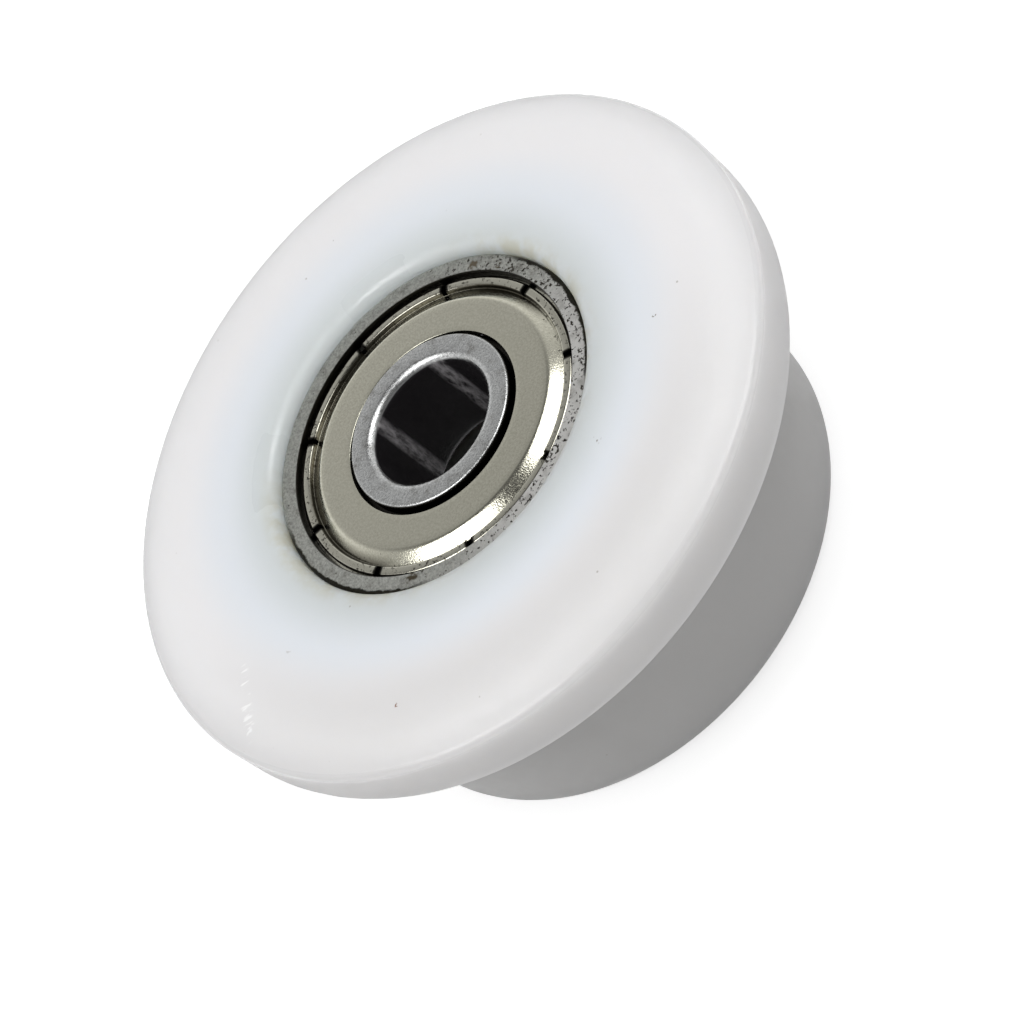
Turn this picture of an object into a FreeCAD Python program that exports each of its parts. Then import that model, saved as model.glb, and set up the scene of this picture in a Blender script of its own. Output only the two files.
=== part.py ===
import FreeCAD, Part
import math
import os

# A flanged pulley roller: one moulded plastic body that carries two shielded ball bearings.
# Millimetres. The axle runs along Z, the rear end stands on Z = 0 and the flange is at the top.

V = FreeCAD.Vector
UP = V(0, 0, 1)
ORIGIN = V(0, 0, 0)

fine_edge_rounding = 0.05   # on the small ground and pressed edges
share_of_side = 0.49        # the most of a side that one rounding may take

# Moulded body
flange_diameter = 44.0
flange_thickness = 5.6
face_bevel_width = 1.8      # the front face falls away to the rim over this width
face_bevel_drop = 1.0
face_bevel_rounding = 6.0
front_edge_rounding = 0.4
back_edge_rounding = 2.6
tread_diameter = 33.6
tread_end_rounding = 1.6
tread_root_rounding = 0.5
bearing_recess = 0.75       # the bearings sit this far below the body's end faces
mouth_rounding = 0.8
rib_width = 2.9             # the rib between the bearings, which both outer rings seat on
rib_height = 2.0
rib_edge_rounding = 0.3

# Bearing envelope
axle_diameter = 8.0
bearing_diameter = 22.0
bearing_width = 7.0
ball_share = 0.567          # the ball's diameter as a share of the space from axle to pocket
ball_count = 7
race_conformity = 0.52      # race groove radius as a share of the ball's diameter
race_gap = 0.03             # running clearance between a ball and each race

# Outer ring
outer_corner_rounding = 0.25
mouth_wall = 1.18           # steel left outside the opening that shows the shield
mouth_edge_rounding = 0.1
outer_shoulder_height = 0.4  # the shoulder stands this far above the race's bottom
shield_seat_depth = 1.0     # from the ring's end face to the ledge that carries the shield
snap_groove_depth = 0.18    # the rim of the shield is crimped into this groove
snap_groove_width = 0.34

# Inner ring
inner_ring_proud = 0.2      # it stands this far past the outer ring on the bearing's outside
inner_bore_rounding = 0.55
inner_edge_rounding = 0.18
inner_shoulder_height = 0.5
inner_step_depth = 0.9      # each end is turned down to let the shield reach over the shoulder
inner_step_drop = 0.37

# Shield
shield_thickness = 0.28
shield_sink = 0.13          # the flat lies this far below the ring's end face
shield_running_gap = 0.3    # between the shield's bore and the inner ring's step
shield_cone_width = 0.85    # the slope between the flat and the valley
shield_bend_rounding = 0.5
valley_sink = 0.62
valley_rounding = 0.06
bead_sink = 0.3
bead_width = 0.58
bead_slope_width = 0.11     # the bead's inner side leans out over this width
bead_inner_rounding = 0.16
bead_outer_rounding = 0.28
bead_gap = 0.16             # the dark groove between the bead and the ring's mouth
crimp_clearance = 0.03
slit_count = 9
slit_width = 0.32

# Ribbon cage
cage_thickness = 0.36
cage_band_share = 0.48      # the band's width as a share of the ball's diameter
pocket_gap = 0.05
rivet_shank_diameter = 0.7
rivet_head_diameter = 1.25
rivet_head_height = 0.22
rivet_head_rounding = 0.12

# Worked out from the sizes above
flange_radius = flange_diameter / 2
tread_radius = tread_diameter / 2
pocket_radius = bearing_diameter / 2
bore_radius = axle_diameter / 2
ball_diameter = ball_share * (pocket_radius - bore_radius)
ball_radius = ball_diameter / 2
pitch_radius = (bore_radius + pocket_radius) / 2
race_radius = race_conformity * ball_diameter
half_width = bearing_width / 2
outer_race_bottom = pitch_radius + ball_radius + race_gap
inner_race_bottom = pitch_radius - ball_radius - race_gap
outer_shoulder_radius = outer_race_bottom - outer_shoulder_height
inner_shoulder_radius = inner_race_bottom + inner_shoulder_height
inner_step_radius = inner_shoulder_radius - inner_step_drop
mouth_radius = pocket_radius - mouth_wall
seat_level = half_width - shield_seat_depth
pocket_depth = bearing_recess + bearing_width
body_width = 2 * pocket_depth + rib_width
front_middle = body_width - bearing_recess - half_width
rear_middle = bearing_recess + half_width


def outline(corners):
    """Closed face in the XZ plane: lines between (radius, height, rounding) corners, with tangent arcs."""
    stops = []
    for i, (radius, height, rounding) in enumerate(corners):
        corner = V(radius, 0, height)
        back = V(corners[i - 1][0], 0, corners[i - 1][1]) - corner
        ahead_corner = corners[(i + 1) % len(corners)]
        ahead = V(ahead_corner[0], 0, ahead_corner[1]) - corner
        half_angle = back.getAngle(ahead) / 2
        reach = min(rounding / math.tan(half_angle), share_of_side * min(back.Length, ahead.Length))
        arc_radius = reach * math.tan(half_angle)
        back.normalize()
        ahead.normalize()
        inward = back + ahead
        first = corner + back * reach
        last = corner + ahead * reach
        if reach > 0:
            inward.normalize()
            middle = corner + inward * (arc_radius / math.sin(half_angle) - arc_radius)
        else:
            middle = corner
        stops.append((first, middle, last))
    edges = []
    for i, (first, middle, last) in enumerate(stops):
        edges.append(Part.makeLine(stops[i - 1][2], first))
        if first.distanceToPoint(last) > 0:
            edges.append(Part.Arc(first, middle, last).toShape())
    return Part.Face(Part.Wire(edges))


def turned(corners):
    """Solid of revolution about Z."""
    return outline(corners).revolve(ORIGIN, UP, 360)


def around(shape, count, phase=0.0):
    """The same shape repeated evenly about Z, starting at a phase in degrees."""
    copies = []
    for i in range(count):
        copy = shape.copy()
        copy.rotate(ORIGIN, UP, phase + 360.0 * i / count)
        copies.append(copy)
    return copies


def pulley_body():
    """Flange, tread, two bearing pockets and the rib between them, in one moulding."""
    back_of_flange = body_width - flange_thickness
    bevel_start = flange_radius - face_bevel_width
    front_edge = body_width - face_bevel_drop
    rib_radius = pocket_radius - rib_height
    return turned([
        (rib_radius, pocket_depth, rib_edge_rounding),
        (rib_radius, body_width - pocket_depth, rib_edge_rounding),
        (pocket_radius, body_width - pocket_depth, 0),
        (pocket_radius, body_width, mouth_rounding),
        (bevel_start, body_width, face_bevel_rounding),
        (flange_radius, front_edge, front_edge_rounding),
        (flange_radius, back_of_flange, back_edge_rounding),
        (tread_radius, back_of_flange, tread_root_rounding),
        (tread_radius, 0, tread_end_rounding),
        (pocket_radius, 0, mouth_rounding),
        (pocket_radius, pocket_depth, 0),
    ])


def race(groove_centre):
    """The ring of space that a ball groove takes out of a ring, centred on the balls' plane."""
    return Part.makeTorus(groove_centre, race_radius)


def outer_ring():
    """Both ends open into a mouth, a snap groove and a ledge for a shield, with the ball race between."""
    groove_radius = mouth_radius + snap_groove_depth
    groove_top = seat_level + snap_groove_width
    half = [
        (outer_shoulder_radius, seat_level, fine_edge_rounding),
        (groove_radius, seat_level, 0),
        (groove_radius, groove_top, 0),
        (mouth_radius, groove_top, fine_edge_rounding),
        (mouth_radius, half_width, mouth_edge_rounding),
        (pocket_radius, half_width, outer_corner_rounding),
    ]
    other_half = [(radius, -height, rounding) for radius, height, rounding in reversed(half)]
    return turned(half + other_half).cut(race(outer_race_bottom - race_radius))


def inner_ring():
    """Turned down at both ends under the shields, with rounded bore mouths and the ball race."""
    top = half_width + inner_ring_proud
    bottom = top - bearing_width
    ring = turned([
        (bore_radius, bottom, inner_bore_rounding),
        (inner_step_radius, bottom, inner_edge_rounding),
        (inner_step_radius, bottom + inner_step_depth, fine_edge_rounding),
        (inner_shoulder_radius, bottom + inner_step_depth, fine_edge_rounding),
        (inner_shoulder_radius, top - inner_step_depth, fine_edge_rounding),
        (inner_step_radius, top - inner_step_depth, fine_edge_rounding),
        (inner_step_radius, top, inner_edge_rounding),
        (bore_radius, top, inner_bore_rounding),
    ])
    return ring.cut(race(inner_race_bottom + race_radius))


def shield():
    """Pressed sheet: a raised flat, a cone down to a valley, and a curled rim slit into tabs."""
    flat_top = half_width - shield_sink
    flat_under = flat_top - shield_thickness
    valley = half_width - valley_sink
    bead_top = half_width - bead_sink
    bore = inner_step_radius + shield_running_gap
    bead_outer = mouth_radius - bead_gap
    bead_inner = bead_outer - bead_width
    valley_radius = bead_inner - bead_slope_width
    flat_edge = valley_radius - shield_cone_width
    lip_radius = mouth_radius + snap_groove_depth - crimp_clearance
    lip_top = seat_level + snap_groove_width - crimp_clearance
    slope = math.atan2(flat_top - valley, valley_radius - flat_edge)
    under_edge = flat_edge - shield_thickness * math.tan(slope / 2)
    under_foot = under_edge + (flat_under - seat_level) / math.tan(slope)
    sheet = turned([
        (bore, flat_under, fine_edge_rounding),
        (under_edge, flat_under, shield_bend_rounding),
        (under_foot, seat_level, fine_edge_rounding),
        (lip_radius, seat_level, fine_edge_rounding),
        (lip_radius, lip_top, fine_edge_rounding),
        (bead_outer, lip_top, 0),
        (bead_outer, bead_top, bead_outer_rounding),
        (bead_inner, bead_top, bead_inner_rounding),
        (valley_radius, valley, valley_rounding),
        (flat_edge, flat_top, shield_bend_rounding),
        (bore, flat_top, fine_edge_rounding),
    ])
    slit = Part.makeBox(lip_radius, slit_width, bead_top - seat_level + 2 * shield_thickness)
    slit.translate(V(valley_radius, -slit_width / 2, seat_level - shield_thickness))
    return sheet.cut(around(slit, slit_count))


def balls():
    """One bearing's balls, evenly spaced round the pitch circle."""
    ball = Part.makeSphere(ball_radius)
    ball.translate(V(pitch_radius, 0, 0))
    return around(ball, ball_count)


def cage_half():
    """One pressed ribbon: flats between the balls and a round pocket over each, drilled for the rivets."""
    band_width = cage_band_share * ball_diameter
    inner = pitch_radius - band_width / 2
    outer = pitch_radius + band_width / 2
    pocket = ball_radius + pocket_gap
    crown = pocket + cage_thickness
    top = crown + cage_thickness
    band = turned([(inner, 0, 0), (outer, 0, 0), (outer, top, 0), (inner, top, 0)])
    flats = turned([(inner, 0, 0), (outer, 0, 0), (outer, cage_thickness, 0), (inner, cage_thickness, 0)])
    crown_ball = Part.makeSphere(crown)
    crown_ball.translate(V(pitch_radius, 0, 0))
    pocket_ball = Part.makeSphere(pocket)
    pocket_ball.translate(V(pitch_radius, 0, 0))
    hole = Part.makeCylinder(rivet_shank_diameter / 2, crown, V(pitch_radius, 0, 0))
    crowns = band.common(Part.makeCompound(around(crown_ball, ball_count)))
    ribbon = flats.fuse(crowns)
    ribbon = ribbon.cut(around(pocket_ball, ball_count))
    return ribbon.cut(around(hole, ball_count, 180.0 / ball_count))


def rivets():
    """A rivet through the two halves midway between each pair of balls, headed on both sides."""
    shank = rivet_shank_diameter / 2
    head = rivet_head_diameter / 2
    tip = cage_thickness + rivet_head_height
    rivet = turned([
        (0, -tip, 0),
        (head, -tip, rivet_head_rounding),
        (head, -cage_thickness, 0),
        (shank, -cage_thickness, 0),
        (shank, cage_thickness, 0),
        (head, cage_thickness, 0),
        (head, tip, rivet_head_rounding),
        (0, tip, 0),
    ])
    rivet.translate(V(pitch_radius, 0, 0))
    return Part.makeCompound(around(rivet, ball_count, 180.0 / ball_count))


def flipped(shape):
    """Turned over about X, so that what faced up faces down."""
    copy = shape.copy()
    copy.rotate(ORIGIN, V(1, 0, 0), 180)
    return copy


def bearing():
    """All the pieces of one bearing by name, centred on the balls' plane with its outside facing up."""
    pieces = {
        "outer_ring": outer_ring(),
        "inner_ring": inner_ring(),
        "outside_shield": shield(),
        "inside_shield": flipped(shield()),
        "cage_outside_half": cage_half(),
        "cage_inside_half": flipped(cage_half()),
        "cage_rivets": rivets(),
    }
    for i, ball in enumerate(balls()):
        pieces["ball_%d" % (i + 1)] = ball
    return pieces


def assembly():
    """Every node by name: the body, a bearing facing forward in front and one facing back at the rear."""
    nodes = {"pulley_body": pulley_body()}
    for name, piece in bearing().items():
        front = piece.copy()
        front.translate(UP * front_middle)
        nodes["front_" + name] = front
        rear = flipped(piece)
        rear.translate(UP * rear_middle)
        nodes["rear_" + name] = rear
    return nodes


os.makedirs("parts", exist_ok=True)
for name, shape in assembly().items():
    shape.exportStep("parts/" + name + ".step")
    solids = shape.Solids
    print("%-28s solids %d  valid %s  volume %.3f" % (name, len(solids), shape.isValid(), shape.Volume))
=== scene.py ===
import bpy
import numpy as np
from mathutils import Matrix, Vector

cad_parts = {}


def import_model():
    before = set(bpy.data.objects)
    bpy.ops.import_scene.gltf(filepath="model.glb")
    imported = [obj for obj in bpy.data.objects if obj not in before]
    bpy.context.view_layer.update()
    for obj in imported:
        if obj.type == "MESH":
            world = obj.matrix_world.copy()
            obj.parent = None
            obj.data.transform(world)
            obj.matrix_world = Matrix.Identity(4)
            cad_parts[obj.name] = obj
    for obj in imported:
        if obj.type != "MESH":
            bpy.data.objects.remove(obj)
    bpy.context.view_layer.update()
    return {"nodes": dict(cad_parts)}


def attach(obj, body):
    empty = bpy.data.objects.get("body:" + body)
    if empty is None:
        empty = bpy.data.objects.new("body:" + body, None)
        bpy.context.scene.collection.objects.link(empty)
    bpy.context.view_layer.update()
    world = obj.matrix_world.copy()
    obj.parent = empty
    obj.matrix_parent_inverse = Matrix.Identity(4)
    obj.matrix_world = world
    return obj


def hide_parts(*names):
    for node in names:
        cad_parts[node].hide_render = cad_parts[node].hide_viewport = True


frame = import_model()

# A flanged pulley roller of white plastic on two shielded ball bearings. Sizes are in millimetres,
# and MM turns them to metres. The axle runs along Z and the flange is at the top.

MM = 0.001
TURN = 2 * np.pi

# Body
BODY_WIDTH = 18.4
FLANGE_R = 22.0
FLANGE_THICKNESS = 5.6
FACE_BEVEL_WIDTH = 1.8
FACE_BEVEL_DROP = 1.0
FACE_BEVEL_ROUNDING = 6.0
FRONT_EDGE_ROUNDING = 0.4
BACK_EDGE_ROUNDING = 2.6
TREAD_R = 16.8
TREAD_END_ROUNDING = 1.6
TREAD_ROOT_ROUNDING = 0.5
RECESS = 0.75
MOUTH_ROUNDING = 0.8
RIB_R = 9.0
RIB_EDGE_ROUNDING = 0.3

# Bearing
POCKET_R = 11.0
BORE_R = 4.0
BEARING_WIDTH = 7.0
BALL_R = 1.9845
RACE_R = 0.52 * 2 * BALL_R
RACE_GAP = 0.03
HALF_WIDTH = BEARING_WIDTH / 2
PITCH_R = (BORE_R + POCKET_R) / 2
OUTER_RACE_R = PITCH_R + BALL_R + RACE_GAP
INNER_RACE_R = PITCH_R - BALL_R - RACE_GAP
FINE_EDGE = 0.05

# Outer ring
OUTER_CORNER = 0.25
MOUTH_R = 9.82
MOUTH_EDGE = 0.1
OUTER_SHOULDER_R = OUTER_RACE_R - 0.4
SEAT_LEVEL = HALF_WIDTH - 1.0
GROOVE_DEPTH = 0.18
GROOVE_WIDTH = 0.34

# Inner ring
INNER_PROUD = 0.2
INNER_BORE_ROUNDING = 0.55
INNER_EDGE = 0.18
INNER_SHOULDER_R = INNER_RACE_R + 0.5
INNER_STEP_R = INNER_SHOULDER_R - 0.37
INNER_STEP_DEPTH = 0.9

# Shield
SHEET = 0.28
FLAT_SINK = 0.13
SHIELD_BORE_R = INNER_STEP_R + 0.3
VALLEY_SINK = 0.62
VALLEY_ROUNDING = 0.06
BEND_ROUNDING = 0.5
CONE_WIDTH = 0.85
BEAD_SINK = 0.3
BEAD_OUTER_R = MOUTH_R - 0.16
BEAD_INNER_R = BEAD_OUTER_R - 0.58
BEAD_INNER_ROUNDING = 0.16
BEAD_OUTER_ROUNDING = 0.28
VALLEY_R = BEAD_INNER_R - 0.11
FLAT_EDGE_R = VALLEY_R - CONE_WIDTH
LIP_CLEARANCE = 0.03
SLITS = 9
SLIT_WIDTH = 0.32

FRONT_MIDDLE = BODY_WIDTH - RECESS - HALF_WIDTH
REAR_MIDDLE = RECESS + HALF_WIDTH

# Wear, dirt, and painted light and shade. Angles are in degrees about the axle line and places in
# millimetres.
PALE_BORE_LINES = ((120.0, 9.0), (-165.0, 8.0))        # each line's middle and half its width
EDGE_GREASE = ((58.0, 26.0), (-92.0, 26.0))
PITTED_SIDE = 40.0
LIGHTER_RING_SIDE = 15.0
SHADED_NEAR_SIDE = -35.0
POLISHED_MOUTH = ((143.0, 5.0), (-149.0, 6.0))
DUST_AND_SHADE_SLOPES = ((165.0, 70.0, 45.0), (86.0, 8.0, 16.0), (-95.0, 8.0, 18.0))    # with the blur beyond
FACE_SPECKS = (                                     # x, y, z, radius and colour
    (13.05, 9.05, BODY_WIDTH, 0.16, "#77716a"),
    (13.50, 1.26, BODY_WIDTH, 0.20, "#8f8a86"),
    (9.12, -16.07, BODY_WIDTH, 0.15, "#8a6a5c"),
    (-0.55, -15.62, BODY_WIDTH, 0.12, "#a09b94"),
)
RING_FACE = BODY_WIDTH - RECESS
RING_SPOTS = (
    (4.76, -8.98, RING_FACE, 0.42, "#4d4638"),
    (5.30, -8.55, RING_FACE, 0.22, "#3a352b"),
    (9.96, 1.05, RING_FACE, 0.24, "#15130f"),
    (10.03, -0.14, RING_FACE, 0.13, "#26221c"),
    (9.63, -2.96, RING_FACE, 0.15, "#26221c"),
    (-2.93, 9.84, RING_FACE, 0.42, "#6b6253"),
    (-1.00, 10.10, RING_FACE, 0.30, "#5a5346"),
    (0.13, 10.21, RING_FACE, 0.26, "#3f3a31"),
    # The last spot is a painted glint, pale with a rusty tint, on the rounding at the bore's lower edge.
    (-0.55, -3.95, RING_FACE - 0.55, 0.55, "#c4a793"),
)
SPOT_CORE = 0.4                                     # share of a spot's radius that is fully painted
SPOT_RAG = 0.9
SCUFF = (-3.9, -17.0, -47.0, 5.4, 0.55)             # start, angle, length and half width

# Colours of the acetal by distance from the axle line. Darker and cooler towards the bearing is painted shade
# of the steel behind the see-through acetal; the near-side and tread greys below are painted shade too.
ACETAL_SHADED_AT_RING = "#d0d6d6"
ACETAL_MIDWAY = "#e1e5ea"
ACETAL_AT_RIM = "#e9e8e9"
ACETAL_SHADED_NEAR_SIDE = "#dcdbdb"
ACETAL_SHADED_UNDER_FLANGE = "#cccbca"

# Grid steps, and the longest step along each outline
ROUND_STEPS = 360
TAB_STEPS = 40
RACE_STEPS = 24
ARC_STEP = np.radians(9)
BODY_STEP = 0.5
RING_STEP = 0.6
SHIELD_STEP = 0.35

# Patterns, as how many grains or spots stand in a millimetre. Those marked as coarse would be too
# fine to show at the photo's size, so they are drawn a few times their real size.
GRINDING_GRAIN = 7.0    # the marks of a fine wheel on the rings, coarse
ROLLING_GRAIN = 6.5     # the sheet's rolled surface, coarse
STRIP_GRAIN = 6.0
DIMPLES = 10.0          # frost on the shield's slope, from the press
PITS = 4.4
DUST = 3.6
BORE_LINE_BREAKS = 2.6           # breaks in the pale lines along the bore
STAINS = 0.9
PALE_PLATE_MOTTLE = 0.8
GREASE_SMEARS = 0.5
EDGE_RAGS = 3.0         # the ragged edges of spots
SKIN = 1.2              # patches of more and less shine
FLOW = 0.12             # slow waves where the moulding has sunk, over about 8 mm
SPECKS = 0.55           # places where a speck may lie
SPECK_PATCHES = 0.35    # where they gather
STROKES = 1.0           # the scuff's, before they are drawn out

# Shine and depth
SMOOTH = dict(interpolation_type="SMOOTHSTEP")
ACETAL_IOR = 1.48
ACETAL_SATIN = (0.40, 0.50)
ACETAL_POLISHED = 0.16
LIGHT_REACH = 6.5       # how far light spreads in the acetal
SHEET_SATIN = (0.21, 0.13)
MOULDED_RELIEF = 0.064  # height of each surface's unevenness
GROUND_RELIEF = 0.006
DIMPLED_RELIEF = 0.008


# Shapes

def rounded(corners):
    """Closed outline as an (n, 2) array of radius and height. Each corner is (radius, height, rounding):
    the tangent points lie rounding / tan(half the corner's angle) along its two sides, and the arc
    between them turns about the point where their normals meet."""
    corners = np.array(corners, float)
    points = corners[:, :2]
    stretches = []
    for i, (here, size) in enumerate(zip(points, corners[:, 2])):
        back = points[i - 1] - here
        ahead = points[(i + 1) % len(points)] - here
        back_length, ahead_length = np.hypot(*back), np.hypot(*ahead)
        back, ahead = back / back_length, ahead / ahead_length
        half = np.arccos(np.clip(back @ ahead, -1, 1)) / 2
        reach = min(size / np.tan(half), 0.49 * min(back_length, ahead_length))
        if reach == 0:
            stretches.append(here[None])
            continue
        radius = reach * np.tan(half)
        inward = (back + ahead) / np.hypot(*(back + ahead))
        centre = here + inward * radius / np.sin(half)
        sweep = np.pi - 2 * half
        steps = max(3, int(np.ceil(sweep / ARC_STEP)) + 1)
        share = np.linspace(0, 1, steps)[:, None]
        first, last = here + back * reach - centre, here + ahead * reach - centre
        arc = (np.sin((1 - share) * sweep) * first + np.sin(share * sweep) * last) / np.sin(sweep)
        stretches.append(centre + arc)
    return np.vstack(stretches)


def filled(outline, longest):
    """The same outline with its long straight sides divided evenly, so that no step is over the longest:
    each point is repeated once for every part of its side and moved along it by that part's share."""
    after = np.roll(outline, -1, axis=0)
    counts = np.maximum(1, np.ceil(np.hypot(*(after - outline).T) / longest)).astype(int)
    owner = np.repeat(np.arange(len(outline)), counts)
    part = np.arange(counts.sum()) - np.repeat(np.cumsum(counts) - counts, counts)
    share = (part / counts[owner])[:, None]
    return outline[owner] * (1 - share) + after[owner] * share


def piece(name, points, faces, material, smooth_angle=40):
    """A mesh object at the origin, smooth where its faces meet at less than the angle."""
    mesh = bpy.data.meshes.new(name)
    mesh.from_pydata((points * MM).tolist(), [], faces)
    mesh.materials.append(material)
    mesh.polygons.foreach_set("use_smooth", np.ones(len(mesh.polygons), bool))
    mesh.update()
    mesh.set_sharp_from_angle(angle=np.radians(smooth_angle))
    made = bpy.data.objects.new(name, mesh)
    bpy.context.scene.collection.objects.link(made)
    return made


def turned_grid(outline, middle, side, steps=ROUND_STEPS):
    """Points (radius cos t, radius sin t, height) of a closed outline carried round Z, t being a full
    turn in even steps. Side -1 turns the whole over about X, for the rear end."""
    t = np.linspace(0, TURN, steps, endpoint=False)[:, None]
    radius, height = outline[:, 0], outline[:, 1]
    x = radius * np.cos(t)
    y = side * radius * np.sin(t)
    z = np.broadcast_to(middle + side * height, x.shape)
    return np.stack([x, y, z], axis=-1)


def grid_faces(rows, columns):
    """Quads of a grid that closes both ways, as (rows * columns, 4) indices."""
    i, j = np.meshgrid(np.arange(rows), np.arange(columns), indexing="ij")
    ahead, right = (i + 1) % rows, (j + 1) % columns
    return np.stack([i * columns + j, ahead * columns + j, ahead * columns + right, i * columns + right], -1)


def turned(name, outline, middle, side, material, steps=ROUND_STEPS):
    """Solid of revolution about Z of a closed outline that runs anticlockwise in (radius, height)."""
    grid = turned_grid(outline, middle, side, steps)
    faces = grid_faces(steps, len(outline)).reshape(-1, 4)
    return piece(name, grid.reshape(-1, 3), faces.tolist(), material)


def body_outline():
    """Flange, tread, the two pockets and the rib between them, anticlockwise in (radius, height)."""
    back_of_flange = BODY_WIDTH - FLANGE_THICKNESS
    pocket = RECESS + BEARING_WIDTH
    corners = [
        (RIB_R, BODY_WIDTH - pocket, RIB_EDGE_ROUNDING),
        (RIB_R, pocket, RIB_EDGE_ROUNDING),
        (POCKET_R, pocket, 0),
        (POCKET_R, 0, MOUTH_ROUNDING),
        (TREAD_R, 0, TREAD_END_ROUNDING),
        (TREAD_R, back_of_flange, TREAD_ROOT_ROUNDING),
        (FLANGE_R, back_of_flange, BACK_EDGE_ROUNDING),
        (FLANGE_R, BODY_WIDTH - FACE_BEVEL_DROP, FRONT_EDGE_ROUNDING),
        (FLANGE_R - FACE_BEVEL_WIDTH, BODY_WIDTH, FACE_BEVEL_ROUNDING),
        (POCKET_R, BODY_WIDTH, MOUTH_ROUNDING),
        (POCKET_R, BODY_WIDTH - pocket, 0),
    ]
    return filled(rounded(corners), BODY_STEP)


def race_arc(centre_r, wall_r, steps=RACE_STEPS):
    """The groove that the balls run in: an arc about (centre_r, 0) from where it meets the wall below
    the balls' plane to where it meets it above, on the side away from the centre."""
    lean = np.arcsin(np.sqrt(RACE_R ** 2 - (wall_r - centre_r) ** 2) / RACE_R)
    t = np.linspace(-lean, lean, steps)
    outward = np.sign(wall_r - centre_r)
    return np.stack([centre_r + outward * RACE_R * np.cos(t), RACE_R * np.sin(t)], axis=1)


def outer_ring_outline():
    """Outside wall, the two mouths with their snap grooves and shield ledges, and the race."""
    groove_r = MOUTH_R + GROOVE_DEPTH
    groove_top = SEAT_LEVEL + GROOVE_WIDTH
    corners = [
        (POCKET_R, -HALF_WIDTH, OUTER_CORNER),
        (POCKET_R, HALF_WIDTH, OUTER_CORNER),
        (MOUTH_R, HALF_WIDTH, MOUTH_EDGE),
        (MOUTH_R, groove_top, FINE_EDGE),
        (groove_r, groove_top, 0),
        (groove_r, SEAT_LEVEL, 0),
        (OUTER_SHOULDER_R, SEAT_LEVEL, FINE_EDGE),
        (OUTER_SHOULDER_R, -SEAT_LEVEL, FINE_EDGE),
        (groove_r, -SEAT_LEVEL, 0),
        (groove_r, -groove_top, 0),
        (MOUTH_R, -groove_top, FINE_EDGE),
        (MOUTH_R, -HALF_WIDTH, MOUTH_EDGE),
    ]
    plain = rounded(corners)
    arc = race_arc(OUTER_RACE_R - RACE_R, OUTER_SHOULDER_R)[::-1]
    on_shoulder = np.isclose(plain[:, 0], OUTER_SHOULDER_R)
    last_above = np.flatnonzero(on_shoulder & (plain[:, 1] > 0))[-1]
    return filled(np.vstack([plain[:last_above + 1], arc, plain[last_above + 1:]]), RING_STEP)


def inner_ring_outline():
    """Bore with rounded mouths, turned down at both ends, and the race between the shoulders."""
    top = HALF_WIDTH + INNER_PROUD
    bottom = top - BEARING_WIDTH
    corners = [
        (BORE_R, top, INNER_BORE_ROUNDING),
        (BORE_R, bottom, INNER_BORE_ROUNDING),
        (INNER_STEP_R, bottom, INNER_EDGE),
        (INNER_STEP_R, bottom + INNER_STEP_DEPTH, FINE_EDGE),
        (INNER_SHOULDER_R, bottom + INNER_STEP_DEPTH, FINE_EDGE),
        (INNER_SHOULDER_R, top - INNER_STEP_DEPTH, FINE_EDGE),
        (INNER_STEP_R, top - INNER_STEP_DEPTH, FINE_EDGE),
        (INNER_STEP_R, top, INNER_EDGE),
    ]
    plain = rounded(corners)
    arc = race_arc(INNER_RACE_R + RACE_R, INNER_SHOULDER_R)
    on_shoulder = np.isclose(plain[:, 0], INNER_SHOULDER_R)
    last_below = np.flatnonzero(on_shoulder & (plain[:, 1] < 0))[-1]
    return filled(np.vstack([plain[:last_below + 1], arc, plain[last_below + 1:]]), RING_STEP)


def shield_outline():
    """The sheet's section, anticlockwise in (radius, height): a raised flat, a cone down to the valley,
    and the curled rim outside it, which the slits cut into tabs."""
    flat_top = HALF_WIDTH - FLAT_SINK
    flat_under = flat_top - SHEET
    valley = HALF_WIDTH - VALLEY_SINK
    bead_top = HALF_WIDTH - BEAD_SINK
    lip_r = MOUTH_R + GROOVE_DEPTH - LIP_CLEARANCE
    lip_top = SEAT_LEVEL + GROOVE_WIDTH - LIP_CLEARANCE
    slope = np.arctan2(flat_top - valley, VALLEY_R - FLAT_EDGE_R)
    under_edge = FLAT_EDGE_R - SHEET * np.tan(slope / 2)
    under_foot = under_edge + (flat_under - SEAT_LEVEL) / np.tan(slope)
    return rounded([
        (SHIELD_BORE_R, flat_under, FINE_EDGE),
        (under_edge, flat_under, BEND_ROUNDING),
        (under_foot, SEAT_LEVEL, FINE_EDGE),
        (lip_r, SEAT_LEVEL, FINE_EDGE),
        (lip_r, lip_top, FINE_EDGE),
        (BEAD_OUTER_R, lip_top, 0),
        (BEAD_OUTER_R, bead_top, BEAD_OUTER_ROUNDING),
        (BEAD_INNER_R, bead_top, BEAD_INNER_ROUNDING),
        (VALLEY_R, valley, VALLEY_ROUNDING),
        (FLAT_EDGE_R, flat_top, BEND_ROUNDING),
        (SHIELD_BORE_R, flat_top, FINE_EDGE),
    ])


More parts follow.
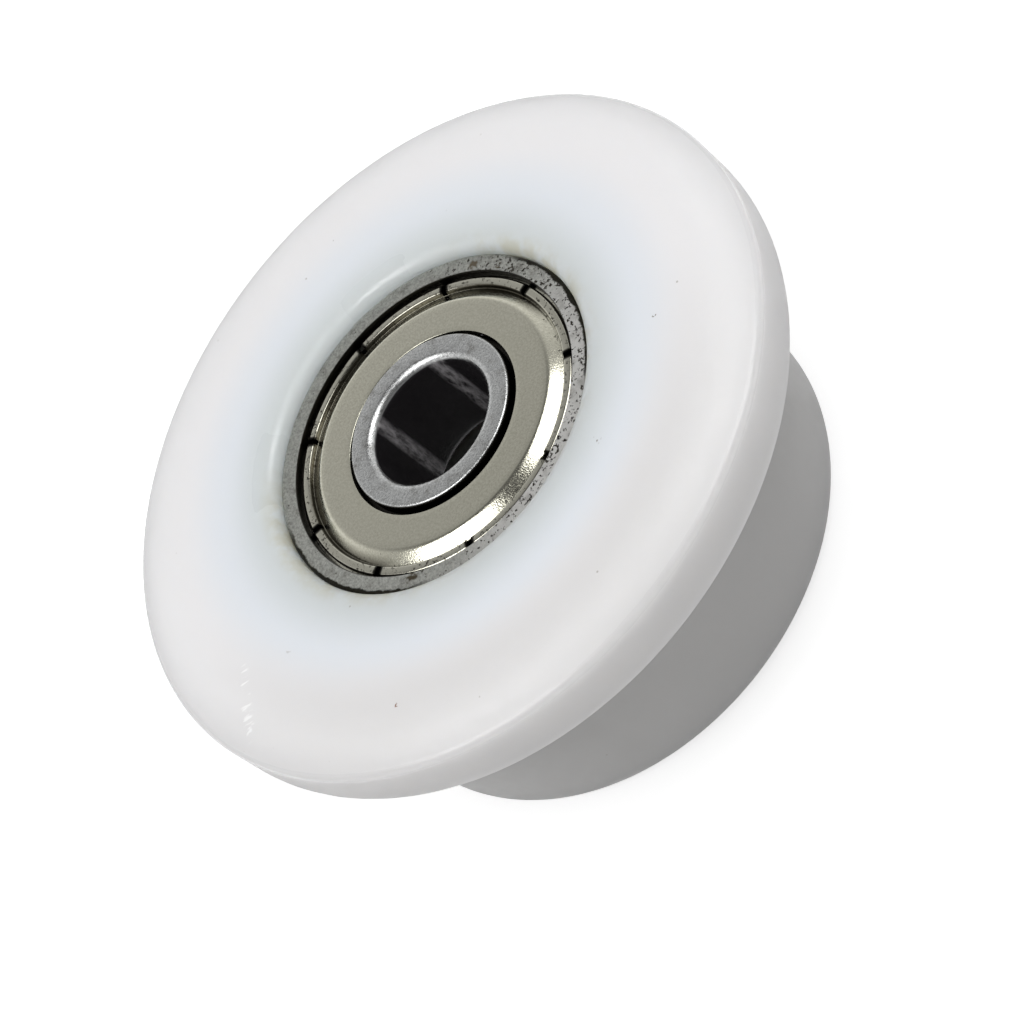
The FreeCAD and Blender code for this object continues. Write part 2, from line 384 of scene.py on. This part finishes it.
def shield(name, middle, side, material):
    """The sheet's outline carried round Z in tabs. Between two slits the angle runs evenly, and where
    the radius is past the valley the first and last columns stand half a slit from the slit's middle
    line, so that each slit has straight, parallel walls. The slit's own faces close it."""
    outline = filled(shield_outline(), SHIELD_STEP)
    radius, height = outline[:, 0], outline[:, 1]
    cut = radius > VALLEY_R
    tab = TURN / SLITS
    share = np.linspace(0, 1, TAB_STEPS)
    gap = np.arcsin(SLIT_WIDTH / 2 / radius)
    start = (np.arange(SLITS) * tab)[:, None, None]
    angle = start + gap[None, None, :] + share[None, :, None] * (tab - 2 * gap)[None, None, :]
    angle = angle.reshape(-1, len(outline))
    x, y = radius * np.cos(angle), side * radius * np.sin(angle)
    z = np.broadcast_to(middle + side * height, x.shape)
    points = np.stack([x, y, z], -1).reshape(-1, 3)
    rows, columns = angle.shape
    quads = grid_faces(rows, columns)
    next_cut = np.roll(cut, -1)
    open_columns = cut & next_cut
    at_slit = (np.arange(rows) + 1) % TAB_STEPS == 0
    keep = ~(at_slit[:, None] & open_columns[None, :])
    faces = quads[keep].tolist()
    inside_cut = np.flatnonzero(cut)
    first, last = inside_cut[0], inside_cut[-1]
    for row in np.flatnonzero(at_slit):
        here, beyond = row * columns, (row + 1) % rows * columns
        faces.append((here + inside_cut).tolist()[::-1])
        faces.append((beyond + inside_cut).tolist())
        faces.append([here + first, beyond + first, beyond + last, here + last])
    return piece(name, points, faces, material, smooth_angle=30)


# Colours and nodes

def linear(hex_colour):
    """An sRGB hex colour as linear red, green, blue and alpha."""
    srgb = np.array([int(hex_colour[i:i + 2], 16) for i in (1, 3, 5)]) / 255
    low, high = srgb / 12.92, ((srgb + 0.055) / 1.055) ** 2.4
    return (*np.where(srgb <= 0.04045, low, high).tolist(), 1.0)


def add(tree, kind, inputs=(), out=0, **settings):
    """One shader node with its settings. Its inputs go by place or by name, as values or as the sockets
    that link to them, and None leaves one alone. Gives back the output asked for."""
    node = tree.nodes.new("ShaderNode" + kind)
    for key, value in settings.items():
        setattr(node, key, value)
    for key, value in inputs.items() if isinstance(inputs, dict) else enumerate(inputs):
        if isinstance(value, bpy.types.NodeSocket):
            tree.links.new(value, node.inputs[key])
        elif value is not None:
            node.inputs[key].default_value = value
    return node.outputs[out] if node.outputs else None


def new_material(name):
    """A material with an empty node tree."""
    made = bpy.data.materials.new(name)
    made.use_nodes = True
    made.node_tree.nodes.clear()
    return made, made.node_tree


def places(tree):
    """Object coordinates, the distance from the axle line in metres, and the direction away from it."""
    where = add(tree, "TexCoord", out="Object")
    flat = add(tree, "VectorMath", [where, (1, 1, 0)], operation="MULTIPLY")
    radius = add(tree, "VectorMath", [flat], out="Value", operation="LENGTH")
    facing = add(tree, "VectorMath", [flat], operation="NORMALIZE")
    return where, radius, facing


def toward(tree, facing, degrees, half, blur):
    """1 where the direction from the axle line is within half of the angle, in degrees, and 0 beyond it,
    with a soft step between them: the cosine of the difference is a dot product, which has no seam."""
    aim = (np.cos(np.radians(degrees)), np.sin(np.radians(degrees)), 0)
    cosine = add(tree, "VectorMath", [facing, aim], out="Value", operation="DOT_PRODUCT")
    edge, middle = np.cos(np.radians(half + blur)), np.cos(np.radians(half))
    return add(tree, "MapRange", [cosine, edge, middle], **SMOOTH)


def spotted(tree, where, spots, colour):
    """The colour with spots painted over it, each (x, y, z, radius in millimetres, colour). Noise moves
    the coordinates about, so that the spots have ragged edges."""
    ragged = add(tree, "TexNoise", {"Vector": where, "Scale": EDGE_RAGS / MM, "Detail": 1.0}, "Color")
    moved = add(tree, "VectorMath", [ragged, (SPOT_RAG * MM,) * 3, (-SPOT_RAG / 2 * MM,) * 3],
                operation="MULTIPLY_ADD")
    moved = add(tree, "VectorMath", [where, moved], operation="ADD")
    for x, y, z, size, paint in spots:
        gap = add(tree, "VectorMath", [moved, (x * MM, y * MM, z * MM)], out="Value", operation="DISTANCE")
        spot = add(tree, "MapRange", [gap, size * MM, size * SPOT_CORE * MM], **SMOOTH)
        colour = add(tree, "Mix", {0: spot, 6: colour, 7: linear(paint)}, 2, data_type="RGBA")
    return colour


def scuff(tree, where):
    """1 on a column of short strokes where the face has been knocked: noise drawn out across a line that
    starts at a chosen place and runs at a chosen angle, and faded to its sides and ends."""
    x, y, degrees, length, width = SCUFF
    along = add(tree, "Mapping", [where, (x * MM, y * MM, BODY_WIDTH * MM), (0, 0, np.radians(degrees))],
                vector_type="TEXTURE")
    split = add(tree, "SeparateXYZ", [along]).node
    from_middle = add(tree, "Math", [add(tree, "Math", [split.outputs[1]], operation="ABSOLUTE"), width * MM],
                      operation="DIVIDE")
    side = add(tree, "MapRange", [from_middle, 1.0, 0.4], **SMOOTH)
    start = add(tree, "MapRange", [split.outputs[0], 0.0, 0.3 * MM])
    end = add(tree, "MapRange", [split.outputs[0], length * MM, (length - 0.6) * MM])
    level = add(tree, "Math", [split.outputs[2]], operation="ABSOLUTE")
    on_face = add(tree, "MapRange", [level, 1.0 * MM, 0.8 * MM])
    drawn = add(tree, "Mapping", [along, None, (0, 0, 0.5), (3.4, 0.9, 1.0)])
    strokes = add(tree, "TexNoise", {"Vector": drawn, "Scale": STROKES / MM, "Detail": 2.0})
    mask = add(tree, "MapRange", [strokes, 0.56, 0.66])
    for share in (side, start, end, on_face):
        mask = add(tree, "Math", [mask, share], operation="MULTIPLY")
    return mask


def moulded_acetal():
    """White acetal, injection moulded: milky and a little see-through. Its colour carries painted shade:
    cooler and darker where steel lies behind it, a little darker on the near side, and greyer on the tread
    under the flange. Handling has polished its satin skin along the front edge and at two places on the
    mouths. Grease has yellowed it close round the bearing, and it carries small dark specks and a white
    scuff by the rim."""
    made, tree = new_material("moulded acetal")
    where, radius, facing = places(tree)
    # painted shade: darker and cooler towards the bearing, where steel lies behind the see-through acetal
    past_ring = add(tree, "MapRange", [radius, 11.2 * MM, 15.0 * MM], **SMOOTH)
    colour = add(tree, "Mix", {0: past_ring, 6: linear(ACETAL_SHADED_AT_RING), 7: linear(ACETAL_MIDWAY)}, 2,
                 data_type="RGBA")
    past_bulk = add(tree, "MapRange", [radius, 14.5 * MM, 18.2 * MM], **SMOOTH)
    colour = add(tree, "Mix", {0: past_bulk, 6: colour, 7: linear(ACETAL_AT_RIM)}, 2, data_type="RGBA")

    # painted shade: the face a little darker on its near side
    near_side_shade = toward(tree, facing, SHADED_NEAR_SIDE, 20.0, 70.0)
    near_side_shade = add(tree, "Math", [near_side_shade, past_bulk], operation="MULTIPLY")
    colour = add(tree, "Mix", {0: near_side_shade, 6: colour, 7: linear(ACETAL_SHADED_NEAR_SIDE)}, 2, data_type="RGBA")

    height = add(tree, "SeparateXYZ", [where], 2)
    # painted shade: greyer on the tread, under the flange's overhang
    under_flange = add(tree, "MapRange", [height, (BODY_WIDTH - FLANGE_THICKNESS) * MM,
                                    (BODY_WIDTH - FLANGE_THICKNESS - 1.2) * MM], **SMOOTH)
    colour = add(tree, "Mix", {0: under_flange, 6: colour, 7: linear(ACETAL_SHADED_UNDER_FLANGE)}, 2, data_type="RGBA")

    smears = add(tree, "TexNoise", {"Vector": where, "Scale": GREASE_SMEARS / MM, "Detail": 3.0,
                                    "Roughness": 0.7})
    smeared = add(tree, "MapRange", [smears, 0.35, 0.65], **SMOOTH)
    beside_ring = add(tree, "MapRange", [radius, 12.4 * MM, 10.9 * MM, 0.0, 0.75], **SMOOTH)
    for degrees, half in EDGE_GREASE:
        grease = add(tree, "Math", [beside_ring, toward(tree, facing, degrees, half, 40.0)],
                     operation="MULTIPLY")
        grease = add(tree, "Math", [grease, smeared], operation="MULTIPLY")
        colour = add(tree, "Mix", {0: grease, 6: colour, 7: linear("#bdbaa2")}, 2, data_type="RGBA")

    cells = add(tree, "TexVoronoi", {"Vector": where, "Scale": SPECKS / MM}, "Distance", feature="F1")
    dots = add(tree, "MapRange", [cells, 0.050, 0.028], **SMOOTH)
    patches = add(tree, "TexNoise", {"Vector": where, "Scale": SPECK_PATCHES / MM})
    dusty = add(tree, "MapRange", [patches, 0.56, 0.60])
    dots = add(tree, "Math", [dots, dusty], operation="MULTIPLY")
    dots = add(tree, "Math", [dots, 0.55], operation="MULTIPLY")
    colour = add(tree, "Mix", {0: dots, 6: colour, 7: linear("#8b857b")}, 2, data_type="RGBA")
    colour = spotted(tree, where, FACE_SPECKS, colour)
    strokes = add(tree, "Math", [scuff(tree, where), 0.7], operation="MULTIPLY")
    colour = add(tree, "Mix", {0: strokes, 6: colour, 7: linear("#ffffff")}, 2, data_type="RGBA")

    skin = add(tree, "TexNoise", {"Vector": where, "Scale": SKIN / MM, "Detail": 2.0})
    rough = add(tree, "MapRange", [skin, 0.3, 0.7, *ACETAL_SATIN], **SMOOTH)
    above = add(tree, "MapRange", [height, (BODY_WIDTH - 1.5) * MM, (BODY_WIDTH - 1.2) * MM])
    outside = add(tree, "MapRange", [radius, (FLANGE_R - 0.4) * MM, (FLANGE_R - 0.2) * MM])
    front_edge = add(tree, "Math", [above, outside], operation="MULTIPLY")
    mouth = add(tree, "MapRange", [radius, (POCKET_R + 2.1) * MM, (POCKET_R + 1.2) * MM], **SMOOTH)
    polished = front_edge
    for degrees, half in POLISHED_MOUTH:
        place = add(tree, "Math", [mouth, toward(tree, facing, degrees, half, 12.0)], operation="MULTIPLY")
        polished = add(tree, "Math", [polished, place], operation="MAXIMUM")
    rough = add(tree, "Mix", {0: polished, 2: rough, 3: ACETAL_POLISHED}, data_type="FLOAT")
    flow = add(tree, "TexNoise", {"Vector": where, "Scale": FLOW / MM, "Detail": 1.0})
    normal = add(tree, "Bump", {"Height": flow, "Strength": 1.0, "Distance": MOULDED_RELIEF * MM})
    surface = add(tree, "BsdfPrincipled", {
        "Base Color": colour, "Roughness": rough, "IOR": ACETAL_IOR, "Normal": normal,
        "Subsurface Weight": 1.0, "Subsurface Radius": (1.0, 0.98, 0.95),
        "Subsurface Scale": LIGHT_REACH * MM})
    add(tree, "OutputMaterial", [surface])
    return made


def shaded_bore(tree, where, facing):
    """Painted shade on the bore's wall: near black, with two pale lines along it, whose edges and strength
    the noise breaks."""
    drawn = add(tree, "Mapping", [where, None, None, (1.0, 1.0, 0.35)])
    line_noise = add(tree, "TexNoise", {"Vector": drawn, "Scale": BORE_LINE_BREAKS / MM, "Detail": 5.0, "Roughness": 0.7})
    patchy = add(tree, "MapRange", [line_noise, 0.35, 0.65])
    colour = linear("#232123")
    for degrees, half in PALE_BORE_LINES:
        line = toward(tree, facing, degrees, half * 0.1, half)
        line = add(tree, "Math", [line, patchy], operation="MULTIPLY")
        colour = add(tree, "Mix", {0: line, 6: colour, 7: linear("#a29fa1")}, 2, data_type="RGBA")
    return colour


def ground_steel(name, dark, pale, roughness, fewest_pits, most_pits):
    """Through-hardened bearing steel with ground faces: an even grey with a fine cross grain, small dark
    pits on one side, brown stains, old grease along its outer edge, and painted shade in the gaps beside
    the shields. In the bore it is painted near black as shade, with two pale lines along it, and the
    axle has polished the rounding at its ends."""
    made, tree = new_material(name)
    where, radius, facing = places(tree)
    grain = add(tree, "TexNoise", {"Vector": where, "Scale": GRINDING_GRAIN / MM, "Detail": 4.0,
                                   "Roughness": 0.7})
    grain = add(tree, "MapRange", [grain, 0.32, 0.68], **SMOOTH)
    colour = add(tree, "Mix", {0: grain, 6: linear(dark), 7: linear(pale)}, 2, data_type="RGBA")

    # lighter towards one side of the outer ring's end face
    on_end = add(tree, "MapRange", [radius, (MOUTH_R - 0.2) * MM, (MOUTH_R - 0.1) * MM])
    lighter_side = add(tree, "Math", [on_end, toward(tree, facing, LIGHTER_RING_SIDE, 25.0, 45.0)],
                  operation="MULTIPLY")
    colour = add(tree, "Mix", {0: lighter_side, 6: colour, 7: linear("#d3d2cf")}, 2, data_type="RGBA")

    cloud = add(tree, "TexNoise", {"Vector": where, "Scale": STAINS / MM, "Detail": 5.0, "Roughness": 0.65})
    stained = add(tree, "MapRange", [cloud, 0.48, 0.70, 0.0, 0.45], **SMOOTH)
    colour = add(tree, "Mix", {0: stained, 6: colour, 7: linear("#5b574e")}, 2, data_type="RGBA")

    holes = add(tree, "TexNoise", {"Vector": where, "Scale": PITS / MM, "Detail": 3.0, "Roughness": 0.6})
    crowded = toward(tree, facing, PITTED_SIDE, 50.0, 60.0)
    limit = add(tree, "MapRange", [crowded, 0.0, 1.0, fewest_pits, most_pits])
    above = add(tree, "Math", [holes, limit], operation="SUBTRACT")
    pits = add(tree, "MapRange", [above, 0.0, 0.05], **SMOOTH)
    colour = add(tree, "Mix", {0: pits, 6: colour, 7: linear("#37332e")}, 2, data_type="RGBA")

    drift = add(tree, "MapRange", [cloud, 0.2, 0.8, 10.45 * MM, 10.85 * MM])
    past = add(tree, "Math", [radius, drift], operation="SUBTRACT")
    edge = add(tree, "MapRange", [past, 0.0, 0.12 * MM], **SMOOTH)
    for degrees, half in EDGE_GREASE:
        grease = add(tree, "Math", [edge, toward(tree, facing, degrees, half, 14.0)], operation="MULTIPLY")
        colour = add(tree, "Mix", {0: grease, 6: colour, 7: linear("#23211b")}, 2, data_type="RGBA")
    colour = spotted(tree, where, RING_SPOTS, colour)
    # painted shade in the gaps between rings and shields, from the outer ring's mouth in to the inner ring's
    # step
    in_mouth = add(tree, "MapRange", [add(tree, "Math", [radius, MOUTH_R * MM], operation="SUBTRACT"),
                                      0.10 * MM, 0.03 * MM], **SMOOTH)
    past_step = add(tree, "MapRange", [radius, (INNER_STEP_R - 0.08) * MM, (INNER_STEP_R - 0.02) * MM],
                    **SMOOTH)
    gap_shade = add(tree, "Math", [in_mouth, past_step], operation="MULTIPLY")
    colour = add(tree, "Mix", {0: gap_shade, 6: colour, 7: linear("#1f1d1a")}, 2, data_type="RGBA")

    # painted shade: the bore's wall is painted near black and is not metal
    in_bore = add(tree, "MapRange", [radius, (BORE_R + 0.10) * MM, (BORE_R + 0.03) * MM], **SMOOTH)
    colour = add(tree, "Mix", {0: in_bore, 6: colour, 7: shaded_bore(tree, where, facing)}, 2,
                 data_type="RGBA")
    metal = add(tree, "Math", [1.0, in_bore], operation="SUBTRACT")
    rough = add(tree, "MapRange", [grain, 0.0, 1.0, roughness + 0.08, roughness - 0.06])
    worn = add(tree, "MapRange", [radius, (BORE_R + INNER_BORE_ROUNDING) * MM,
                                  (BORE_R + INNER_BORE_ROUNDING - 0.2) * MM, 1.0, 0.55])
    rough = add(tree, "Math", [rough, worn], operation="MULTIPLY")
    relief = add(tree, "Math", [grain, pits], operation="SUBTRACT")
    normal = add(tree, "Bump", {"Height": relief, "Strength": 1.0, "Distance": GROUND_RELIEF * MM})
    surface = add(tree, "BsdfPrincipled", {
        "Base Color": colour, "Metallic": metal, "Roughness": rough, "Normal": normal})
    add(tree, "OutputMaterial", [surface])
    return made


def nickel_plated_sheet():
    """Steel sheet, pressed and nickel plated: a warm grey satin on the flat, dimpled like frost on the
    slope round it, brighter on the curled rim, with dust and painted shade at the slope's foot and
    painted shade beside the slits."""
    made, tree = new_material("pressed nickel-plated steel sheet")
    where, radius, facing = places(tree)
    grain = add(tree, "TexNoise", {"Vector": where, "Scale": ROLLING_GRAIN / MM, "Detail": 4.0,
                                   "Roughness": 0.7})
    grain = add(tree, "MapRange", [grain, 0.32, 0.68], **SMOOTH)
    colour = add(tree, "Mix", {0: grain, 6: linear("#bab8a8"), 7: linear("#cbc9ba")}, 2, data_type="RGBA")
    on_rim = add(tree, "MapRange", [radius, VALLEY_R * MM, BEAD_INNER_R * MM], **SMOOTH)
    colour = add(tree, "Mix", {0: on_rim, 6: colour, 7: linear("#b9b7aa")}, 2, data_type="RGBA")

    specks = add(tree, "TexNoise", {"Vector": where, "Scale": DUST / MM, "Detail": 3.0, "Roughness": 0.7})
    sloped = add(tree, "MapRange", [radius, FLAT_EDGE_R * MM, VALLEY_R * MM, 0.74, 0.56])
    above = add(tree, "Math", [specks, sloped], operation="SUBTRACT")
    dust = add(tree, "MapRange", [above, 0.0, 0.08, 0.0, 0.85], **SMOOTH)
    colour = add(tree, "Mix", {0: dust, 6: colour, 7: linear("#35322a")}, 2, data_type="RGBA")

    foot = add(tree, "MapRange", [radius, (FLAT_EDGE_R + 0.1) * MM, (VALLEY_R - 0.05) * MM, 0.0, 0.8],
               **SMOOTH)
    inside_rim = add(tree, "MapRange", [radius, (BEAD_INNER_R + 0.06) * MM, BEAD_INNER_R * MM], **SMOOTH)
    foot = add(tree, "Math", [foot, inside_rim], operation="MULTIPLY")
    # dust and painted shade at the foot of the slope, darkest towards the far side and two other sides
    for degrees, half, blur in DUST_AND_SHADE_SLOPES:
        dusty = add(tree, "Math", [foot, toward(tree, facing, degrees, half, blur)], operation="MULTIPLY")
        colour = add(tree, "Mix", {0: dusty, 6: colour, 7: linear("#3d392e")}, 2, data_type="RGBA")

    # painted shade beside the slits, which makes them look wider
    split = add(tree, "SeparateXYZ", [facing]).node
    angle = add(tree, "Math", [split.outputs[1], split.outputs[0]], operation="ARCTAN2")
    repeats = add(tree, "Math", [angle, float(SLITS)], operation="MULTIPLY")
    comb = add(tree, "Math", [repeats], operation="COSINE")
    near_slit = add(tree, "MapRange", [comb, 0.93, 0.975], **SMOOTH)
    slit_shade = add(tree, "Math", [near_slit, on_rim], operation="MULTIPLY")
    colour = add(tree, "Mix", {0: slit_shade, 6: colour, 7: linear("#14130f")}, 2, data_type="RGBA")

    rough = add(tree, "MapRange", [grain, 0.0, 1.0, *SHEET_SATIN])
    dimpled = add(tree, "MapRange", [radius, FLAT_EDGE_R * MM, (FLAT_EDGE_R + 0.2) * MM, 0.15, 1.0], **SMOOTH)
    smooth_rim = add(tree, "MapRange", [on_rim, 0.0, 1.0, 1.0, 0.2])
    dimples = add(tree, "TexNoise", {"Vector": where, "Scale": DIMPLES / MM, "Detail": 1.0})
    relief = add(tree, "Math", [dimples, dimpled], operation="MULTIPLY")
    relief = add(tree, "Math", [relief, smooth_rim], operation="MULTIPLY")
    normal = add(tree, "Bump", {"Height": relief, "Strength": 1.0, "Distance": DIMPLED_RELIEF * MM})
    surface = add(tree, "BsdfPrincipled", {
        "Base Color": colour, "Metallic": 1.0, "Roughness": rough, "Normal": normal})
    add(tree, "OutputMaterial", [surface])
    return made


def pale_matte_sheet():
    """The same sheet on the bearings' inside faces, painted pale, matte and not metal: painted light, so
    that these plates, which lie in shade, scatter what light comes down the bore."""
    made, tree = new_material("pale matte steel sheet")
    where = add(tree, "TexCoord", out="Object")
    mottle = add(tree, "TexNoise", {"Vector": where, "Scale": PALE_PLATE_MOTTLE / MM, "Detail": 4.0})
    # painted light: pale, matte and not metal, so that the plates in the bore's shade look lighter
    colour = add(tree, "Mix", {0: mottle, 6: linear("#b9b8b4"), 7: linear("#dcdbd8")}, 2, data_type="RGBA")
    surface = add(tree, "BsdfPrincipled", {"Base Color": colour, "Roughness": 0.6})
    add(tree, "OutputMaterial", [surface])
    return made


def bright_steel(name, dark, pale, smooth, rough):
    """Polished or rolled steel that only shows inside the bearing: clean, with a faint drawn grain."""
    made, tree = new_material(name)
    where = add(tree, "TexCoord", out="Object")
    grain = add(tree, "TexNoise", {"Vector": where, "Scale": STRIP_GRAIN / MM, "Detail": 3.0})
    colour = add(tree, "Mix", {0: grain, 6: linear(dark), 7: linear(pale)}, 2, data_type="RGBA")
    shine = add(tree, "MapRange", [grain, 0.3, 0.7, smooth, rough])
    surface = add(tree, "BsdfPrincipled", {"Base Color": colour, "Metallic": 1.0, "Roughness": shine})
    add(tree, "OutputMaterial", [surface])
    return made


# Pieces

acetal = moulded_acetal()
ring_steel = ground_steel("ground bearing steel", "#90918c", "#c0c1bb", 0.34, 0.68, 0.555)
inner_steel = ground_steel("honed bearing steel", "#a4a5a5", "#cccdcc", 0.24, 0.76, 0.70)
sheet_steel = nickel_plated_sheet()
pale_inside_steel = pale_matte_sheet()
ball_steel = bright_steel("polished bearing steel", "#a9aaac", "#c6c7ca", 0.08, 0.14)
cage_steel = bright_steel("pressed steel strip", "#8f8c86", "#a8a49c", 0.35, 0.41)

body = turned("body_moulding", body_outline(), 0.0, 1, acetal)
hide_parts("pulley_body")
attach(body, "roller")

for end, middle, side in (("front", FRONT_MIDDLE, 1), ("rear", REAR_MIDDLE, -1)):
    ring = turned(end + "_ring_outside", outer_ring_outline(), middle, side, ring_steel)
    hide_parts(end + "_outer_ring")
    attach(ring, "roller")
    ring = turned(end + "_ring_inside", inner_ring_outline(), middle, side, inner_steel)
    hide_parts(end + "_inner_ring")
    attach(ring, end + "_inner")
    for place, outward, steel in (("outside", side, sheet_steel), ("inside", -side, pale_inside_steel)):
        plate = shield(end + "_" + place + "_plate", middle, outward, steel)
        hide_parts(end + "_" + place + "_shield")
        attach(plate, "roller")

for name, node in frame["nodes"].items():
    if "ball" in name or "cage" in name:
        node.data.materials.clear()
        node.data.materials.append(ball_steel if "ball" in name else cage_steel)


# Camera, floor and light

CAMERA_PLACE = (125.324, -32.136, 130.782)
CAMERA_AHEAD = (-0.70488, 0.17278, -0.68796)
CAMERA_UP = (-0.21039, 0.87531, 0.43539)
LENS = 105.46875
SENSOR = 36.0
CLOSEST, FARTHEST = 10.0, 10000.0
FLOOR_HALF = 900.0

LAMP_DISTANCE = 420.0
LAMP_SIZE = 240.0
LAMP_POWER = 0.79
LAMP_ASIDE = 82.0       # from the camera's side, in degrees
LAMP_RAISED = 62.0
FILL_SIZE = 460.0
FILL_POWER = 0.46
FILL_RAISED = 40.0
SOFT_LEVEL = 0.15       # the walls' light on the part
FRONT_SEEN = 0.15       # share of the walls' brightness on the camera's side, where the room is open
CEILING_SEEN = 0.12     # the ceiling's brightness in a reflection, where the walls are 1
FLOOR_GLOW = 0.7        # added to the paper that the camera sees, which makes it white


def beside(direction, raised, distance):
    """A point at an angle from the side that faces the camera, raised above the floor, in millimetres."""
    angle = np.arctan2(CAMERA_PLACE[1], CAMERA_PLACE[0]) + np.radians(direction)
    lift = np.radians(raised)
    return (distance * np.cos(lift) * np.cos(angle), distance * np.cos(lift) * np.sin(angle),
            distance * np.sin(lift))


def camera():
    """The photograph's view, with up turned square to the line of sight."""
    data = bpy.data.cameras.new("camera")
    data.lens, data.sensor_width = LENS, SENSOR
    data.clip_start, data.clip_end = CLOSEST * MM, FARTHEST * MM
    made = bpy.data.objects.new("camera", data)
    ahead = Vector(CAMERA_AHEAD).normalized()
    right = ahead.cross(Vector(CAMERA_UP)).normalized()
    up = right.cross(ahead)
    turn = Matrix((right, up, -ahead)).transposed().to_4x4()
    made.matrix_world = Matrix.Translation(Vector(CAMERA_PLACE) * MM) @ turn
    bpy.context.scene.collection.objects.link(made)
    bpy.context.scene.camera = made


def seen_directly(tree):
    """1 for rays from the camera and those that a mirror or glass sends on, and 0 for soft light."""
    path = add(tree, "LightPath").node
    glossy = add(tree, "Math", [path.outputs["Is Camera Ray"], path.outputs["Is Glossy Ray"]],
                 operation="MAXIMUM")
    return add(tree, "Math", [glossy, path.outputs["Is Transmission Ray"]], operation="MAXIMUM")


def floor():
    """A wide pale sheet under the part. What the camera sees of it is half its own light, so that it is
    white and still shows the part's shadow."""
    points = np.array([(-1, -1, 0), (1, -1, 0), (1, 1, 0), (-1, 1, 0)]) * FLOOR_HALF
    made, tree = new_material("white paper")
    seen = seen_directly(tree)
    paper = add(tree, "BsdfDiffuse", [linear("#bfbfbf")])
    strength = add(tree, "Math", [seen, FLOOR_GLOW], operation="MULTIPLY")
    glow = add(tree, "Emission", [(1, 1, 1, 1), strength])
    add(tree, "OutputMaterial", [add(tree, "AddShader", [paper, glow])])
    sheet = piece("floor", points, [(0, 1, 2, 3)], made)


def lamp(name, place, size, power, mirrored=True):
    """A square soft light aimed at the part's middle, in millimetres, its power in watts, and whether it
    shows in reflections."""
    data = bpy.data.lights.new(name, "AREA")
    data.shape, data.size, data.energy = "SQUARE", size * MM, power
    made = bpy.data.objects.new(name, data)
    ahead = Vector((0, 0, BODY_WIDTH / 2)) - Vector(place)
    turn = ahead.to_track_quat("-Z", "Y").to_matrix().to_4x4()
    made.matrix_world = Matrix.Translation(Vector(place) * MM) @ turn
    made.visible_glossy = mirrored
    bpy.context.scene.collection.objects.link(made)


def world():
    """A studio with white walls up to about 20 degrees and a dark ceiling. The camera and reflections
    see the walls white, and the soft light that they give is weaker."""
    made = bpy.data.worlds.new("studio")
    made.use_nodes = True
    tree = made.node_tree
    tree.nodes.clear()
    view = add(tree, "TexCoord", out="Generated")
    height = add(tree, "SeparateXYZ", [view], 2)
    walls = add(tree, "MapRange", [height, 1.0, 0.3], **SMOOTH)
    front = add(tree, "VectorMath", [view, beside(0.0, 0.0, 1.0)], out="Value", operation="DOT_PRODUCT")
    open_front = add(tree, "MapRange", [front, 0.2, 0.7, 1.0, FRONT_SEEN], **SMOOTH)
    walls = add(tree, "Math", [walls, open_front], operation="MULTIPLY")
    mirrored = add(tree, "MapRange", [walls, 0.0, 1.0, CEILING_SEEN, 1.0])
    level = add(tree, "Mix", {0: seen_directly(tree), 2: SOFT_LEVEL, 3: mirrored}, data_type="FLOAT")
    add(tree, "OutputWorld", [add(tree, "Background", [(1, 1, 1, 1), level])])
    bpy.context.scene.world = made


camera()
floor()
world()
lamp("right lamp", beside(LAMP_ASIDE, LAMP_RAISED, LAMP_DISTANCE), LAMP_SIZE, LAMP_POWER)
lamp("left lamp", beside(-LAMP_ASIDE, LAMP_RAISED, LAMP_DISTANCE), LAMP_SIZE, LAMP_POWER)
lamp("fill lamp", beside(0.0, FILL_RAISED, LAMP_DISTANCE), FILL_SIZE, FILL_POWER, mirrored=False)

bpy.context.scene.view_settings.view_transform = "Standard"
